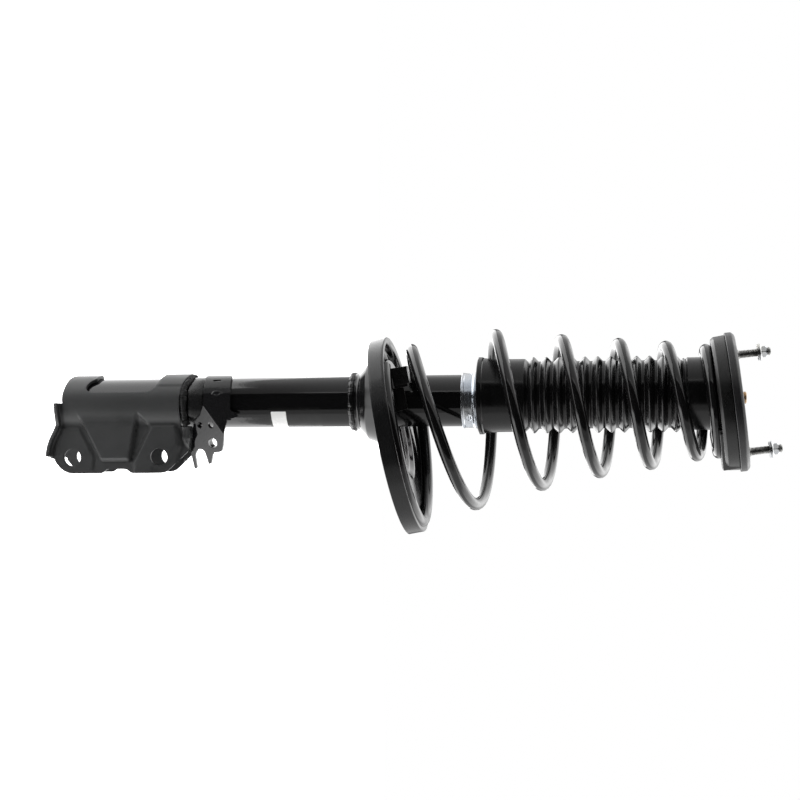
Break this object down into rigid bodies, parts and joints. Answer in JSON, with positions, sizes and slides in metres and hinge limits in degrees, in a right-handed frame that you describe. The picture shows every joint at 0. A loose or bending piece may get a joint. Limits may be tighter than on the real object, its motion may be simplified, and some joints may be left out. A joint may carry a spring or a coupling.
{
  "type": "strut assembly",
  "caption": "Coil-over suspension strut with a two-bolt knuckle bracket, hose bracket, tilted lower spring seat, tapered coil spring, dust boot and studded upper mount.",
  "frame": {"origin": "midway between the two knuckle bolt holes, and midway between the bracket's two ears", "axes": "+Z along the damper towards the upper mount, +X from the damper's axis to the bolt holes, +Y along the bolts; the damper's axis is at x = -0.0535, y = 0"},
  "size_m": [0.2014, 0.1974, 0.7332],
  "materials": {
    "gloss_paint": "deep gloss black paint",
    "satin_paint": "satin dark grey dip coat",
    "spring_paint": "gloss black powder coat",
    "mount_paint": "satin black dip coat",
    "zinc_plate": "bright zinc plate",
    "yellow_zinc": "yellow zinc plate",
    "chromed_rod": "ground and chromed",
    "plain_steel": "plain steel",
    "sintered_metal": "sintered iron",
    "bronze": "bronze-backed bush",
    "black_rubber": "matt black rubber",
    "boot_plastic": "semi-gloss black moulding",
    "foam": "cellular foam",
    "band_plastic": "filled plastic band"
  },
  "bodies": {
    "damper_body": {"outer_tube": "gloss_paint", "base_cap": "plain_steel", "inner_cylinder": "plain_steel", "base_valve": "sintered_metal", "rod_guide": "sintered_metal", "guide_bush": "bronze", "oil_seal": "black_rubber", "bump_cap": "zinc_plate", "knuckle_bracket": "satin_paint", "hose_bracket": "satin_paint", "lower_spring_seat": "gloss_paint", "lower_spring_pad": "black_rubber", "coil_spring": "spring_paint"},
    "rod": {"piston_rod": "chromed_rod", "piston": "sintered_metal", "piston_band": "band_plastic", "piston_nut": "plain_steel", "rebound_stop": "plain_steel", "rebound_bumper": "black_rubber", "bump_stop": "foam", "bump_stop_cup": "plain_steel", "dust_boot": "boot_plastic", "mount_bush": "black_rubber", "mount_sleeve": "plain_steel", "rod_nut": "yellow_zinc", "upper_spring_pad": "black_rubber", "mount_plate": "mount_paint", "stud_upper": "plain_steel", "washer_upper": "zinc_plate", "nut_upper": "zinc_plate", "stud_lower": "plain_steel", "washer_lower": "zinc_plate", "nut_lower": "zinc_plate"}
  },
  "joints": [
    {"name": "damper_stroke", "type": "slide", "parent": "damper_body", "child": "rod", "axis": [0, 0, 1], "range_m": [-0.17, 0], "stiffness_N_per_m": 28000, "springref_m": 0.071, "deforming": ["coil_spring", "dust_boot", "bump_stop"]}
  ]
}
